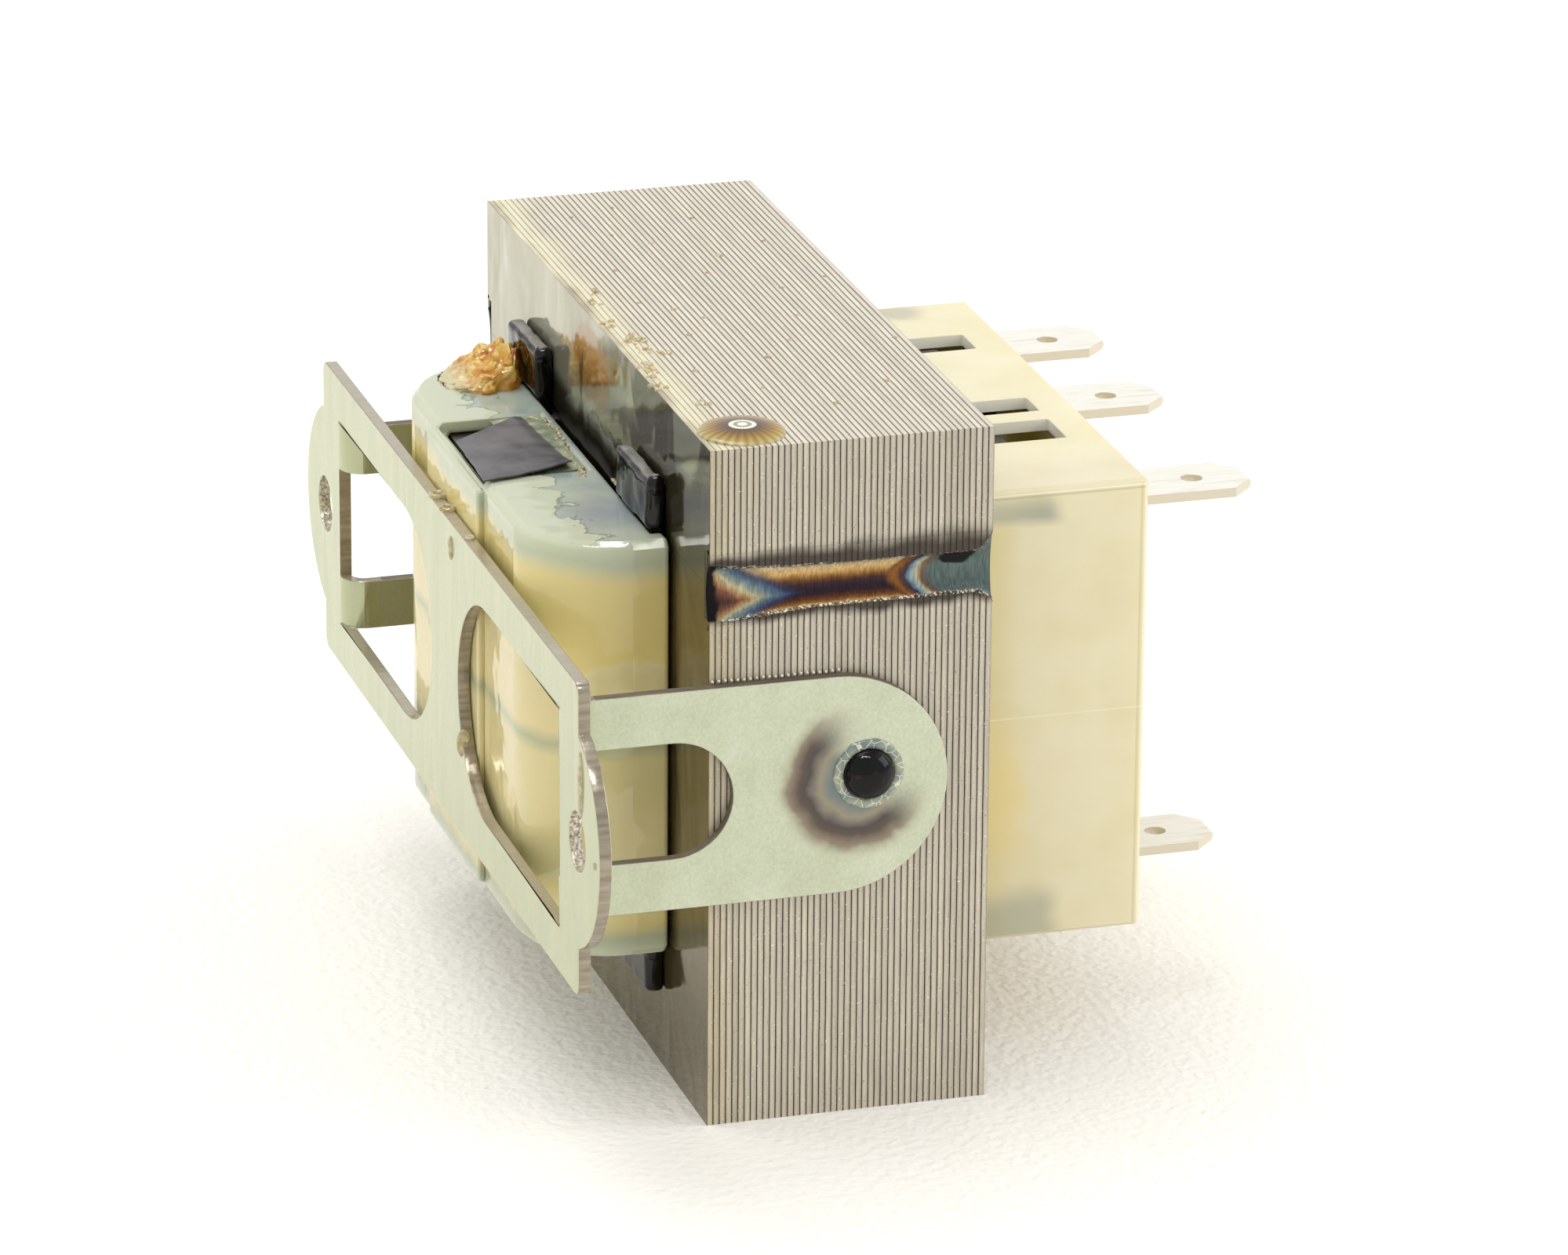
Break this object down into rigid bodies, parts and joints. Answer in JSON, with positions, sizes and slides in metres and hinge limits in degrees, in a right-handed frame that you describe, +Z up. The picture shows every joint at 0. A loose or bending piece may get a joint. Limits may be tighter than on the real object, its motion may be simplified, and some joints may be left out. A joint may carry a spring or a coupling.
{
  "type": "transformer",
  "caption": "Small mains transformer: welded laminated steel core, hooded coil, blade terminals and a folded sheet-metal mounting bracket.",
  "frame": {"origin": "middle of the core's foot, halfway through the stack", "axes": "+X through the stack, from the bracket towards the blade terminals; +Y along the plates, away from the weld bead nearest the camera; +Z up, from the E plates' yoke to the I plates"},
  "size_m": [0.0604, 0.0926, 0.0555],
  "materials": {
    "core_steel": "varnished",
    "weld_steel": "heat tinted",
    "plug_weld_steel": "glossy scale",
    "bobbin_plastic": "gloss",
    "copper_wire": "enamelled",
    "wrap_film": "semi-gloss",
    "hood_plastic": "satin, translucent",
    "bracket_zinc": "zinc plated",
    "tinned_brass": "tinned",
    "tape_film": "semi-gloss",
    "varnish": "gloss, clear"
  },
  "bodies": {
    "root": {"e_laminations": "core_steel", "i_laminations": "core_steel", "weld_bead_front": "weld_steel", "weld_bead_back": "weld_steel", "bobbin": "bobbin_plastic", "primary_winding": "copper_wire", "secondary_winding": "copper_wire", "primary_wrap": "wrap_film", "secondary_wrap": "wrap_film", "primary_leads": "copper_wire", "secondary_leads": "copper_wire", "bracket_side_hood": "hood_plastic", "terminal_hood": "hood_plastic", "bracket": "bracket_zinc", "bracket_weld_front": "plug_weld_steel", "bracket_weld_back": "plug_weld_steel", "primary_tab_1": "tinned_brass", "primary_tab_2": "tinned_brass", "primary_tab_3": "tinned_brass", "secondary_tab_1": "tinned_brass", "secondary_tab_2": "tinned_brass", "tape_patch": "tape_film", "resin_lump": "varnish", "varnish_drop": "varnish"}
  },
  "joints": []
}
